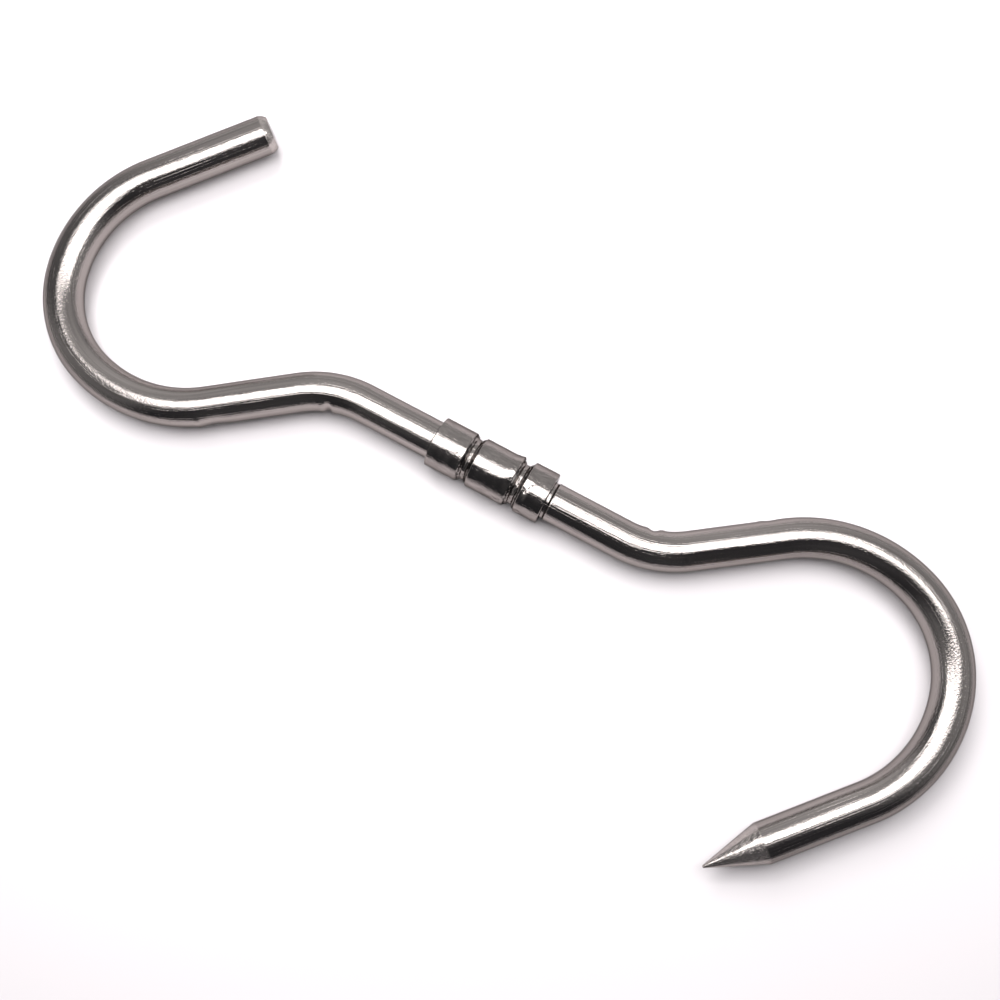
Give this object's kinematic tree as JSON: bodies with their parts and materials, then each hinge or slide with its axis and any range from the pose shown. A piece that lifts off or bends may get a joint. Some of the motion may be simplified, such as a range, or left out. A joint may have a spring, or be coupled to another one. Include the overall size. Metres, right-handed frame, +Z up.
{
  "type": "swivel meat hook",
  "caption": "Round-bar meat hook in two halves, one blunt and one pointed, joined by a rolled sleeve so that the pointed hook turns freely under its load.",
  "frame": {"origin": "middle of the bottom of the box round the hook lying flat", "axes": "+X along the swivel axis from the rail hook to the point hook, +Z up, square to the plane of both hooks"},
  "size_m": [0.253, 0.1124, 0.013],
  "materials": {
    "hook_steel": "polished stainless round bar, fine draw marks",
    "sleeve_steel": "polished stainless tube, lathe and rolling marks"
  },
  "bodies": {
    "rail_hook": {"rail_hook": "hook_steel"},
    "sleeve": {"swivel_sleeve": "sleeve_steel"},
    "point_hook": {"point_hook": "hook_steel"}
  },
  "joints": [
    {"name": "sleeve_swivel", "type": "hinge", "parent": "rail_hook", "child": "sleeve", "pos_m": [-0.00061, 0.0027, 0.0065], "axis": [1, 0, 0], "continuous": true},
    {"name": "point_hook_swivel", "type": "hinge", "parent": "sleeve", "child": "point_hook", "pos_m": [-0.00061, 0.0027, 0.0065], "axis": [1, 0, 0], "continuous": true}
  ]
}
